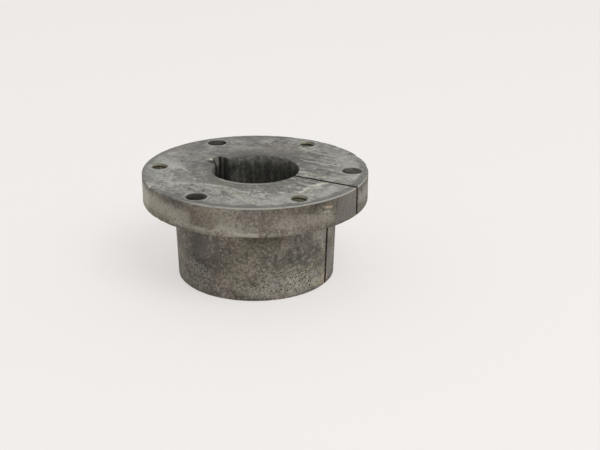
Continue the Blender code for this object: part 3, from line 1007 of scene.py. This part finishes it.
# The burr has the same shape as a hollow, but is left standing.
burr = hollow("burr", Vector((-23.75, 1.15, LENGTH)), Vector((0.3, -0.2, 1)), width=0.95, depth=0.32, finish=bright)
cutters.objects.unlink(burr)


# The finished bushing: the cuts are taken out of the casting all at once, and the burr is left standing.
# It is shaded smooth on its rounds and sharp along its machined edges, and it stands for the whole bushing.

SHARP_ANGLE = math.radians(32)

machining = casting.modifiers.new("machining", "BOOLEAN")
machining.operation = "DIFFERENCE"
machining.solver = "EXACT"
machining.material_mode = "TRANSFER"
machining.operand_type = "COLLECTION"
machining.collection = cutters
raising = casting.modifiers.new("raising", "BOOLEAN")
raising.operation = "UNION"
raising.solver = "EXACT"
raising.material_mode = "TRANSFER"
raising.object = burr
bpy.context.scene.collection.objects.link(burr)
bpy.context.view_layer.update()
machined = bpy.data.meshes.new_from_object(casting.evaluated_get(bpy.context.evaluated_depsgraph_get()))
casting.modifiers.clear()
casting.data = machined
machined.name = "bushing_casting"
machined.shade_smooth()
machined.set_sharp_from_angle(angle=SHARP_ANGLE)
for piece in [burr, *cutters.objects]:
    bpy.data.objects.remove(piece, do_unlink=True)
bpy.data.collections.remove(cutters)

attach(casting, "root")
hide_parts("bushing")


# The floor: a plain pale sheet, wide enough to fill the view.  Over half of what the camera sees of it
# is a steady pale tone, so that it is bright to its edges and still keeps the bushing's soft shadow.

FLOOR_REACH = 6
FLOOR_COLOUR = (0.9, 0.87, 0.85, 1)
FLOOR_ROUGHNESS = 0.9
STEADY_SHARE = 0.6


def seen_directly(tree):
    """1 for what the camera sees, mirrored or through glass too, and 0 for all other light."""
    seen = add(tree, "LightPath", {}).outputs
    mirrored = arithmetic(tree, "MAXIMUM", seen["Is Glossy Ray"], seen["Is Transmission Ray"])
    return arithmetic(tree, "MAXIMUM", seen["Is Camera Ray"], mirrored)


floor_mesh = bpy.data.meshes.new("floor")
corners = [(x * FLOOR_REACH, y * FLOOR_REACH, 0) for x, y in ((-1, -1), (1, -1), (1, 1), (-1, 1))]
floor_mesh.from_pydata(corners, [], [(0, 1, 2, 3)])
floor = bpy.data.objects.new("floor", floor_mesh)
bpy.context.scene.collection.objects.link(floor)
pale_floor = bpy.data.materials.new("pale_floor")
pale_floor.use_nodes = True
tree = pale_floor.node_tree
shader = tree.nodes["Principled BSDF"]
shader.inputs["Base Color"].default_value = FLOOR_COLOUR
shader.inputs["Roughness"].default_value = FLOOR_ROUGHNESS
steady = times(tree, seen_directly(tree), STEADY_SHARE)
glow = add(tree, "Emission", {"Color": FLOOR_COLOUR, "Strength": 1.0})
both = add(tree, "MixShader", {0: steady, 1: shader.outputs[0], 2: glow.outputs[0]})
tree.links.new(both.outputs[0], tree.nodes["Material Output"].inputs["Surface"])
floor_mesh.materials.append(pale_floor)


# The light: a white room all round, and one wide lamp high up on the right of the camera.
# The room lights the iron evenly, and the lamp brings the flange's face up and lays a soft shadow.

ROOM_COLOUR = (1, 0.99, 0.975, 1)
ROOM_STRENGTH = 0.7
ROOM_SEEN_STRENGTH = 0.92
LAMP_SIZE = 1.2
LAMP_POWER = 16.0
LAMP_PLACE = (1.2, -0.5, 1.6)
LAMP_TARGET = (0, 0, 0.03)

world = bpy.data.worlds.new("studio")
bpy.context.scene.world = world
world.use_nodes = True
tree = world.node_tree
room = tree.nodes["Background"]
room.inputs["Color"].default_value = ROOM_COLOUR
strength = scaled(tree, seen_directly(tree), ROOM_STRENGTH, ROOM_SEEN_STRENGTH)
tree.links.new(strength, room.inputs["Strength"])

lamp = bpy.data.lights.new("wide_lamp", "AREA")
lamp.shape = "SQUARE"
lamp.size = LAMP_SIZE
lamp.energy = LAMP_POWER
lamp_stand = bpy.data.objects.new("wide_lamp", lamp)
bpy.context.scene.collection.objects.link(lamp_stand)
lamp_stand.location = LAMP_PLACE
lamp_stand.rotation_euler = (Vector(LAMP_TARGET) - lamp_stand.location).to_track_quat("-Z", "Y").to_euler()


# The camera: a long lens, about half a metre off, turned some 62 degrees from the line of the saw cut.
# It looks down on the face at about 22 degrees, and is rolled very slightly.

AIM = Vector((17.237, 9.291, 21.275)) * MM
EYE = Vector((241.14, -408.97, 209.27)) * MM
ROLL = math.radians(0.31)
SENSOR_WIDTH = 36
FOCAL_LENGTH = 68.858
NEAREST = 0.01

lens = bpy.data.cameras.new("camera")
lens.sensor_width = SENSOR_WIDTH
lens.lens = FOCAL_LENGTH
lens.clip_start = NEAREST
camera = bpy.data.objects.new("camera", lens)
bpy.context.scene.collection.objects.link(camera)
camera.location = EYE
camera.rotation_mode = "QUATERNION"
camera.rotation_quaternion = (AIM - EYE).to_track_quat("-Z", "Y") @ Quaternion((0, 0, 1), ROLL)
bpy.context.scene.camera = camera

bpy.context.scene.view_settings.view_transform = "Standard"
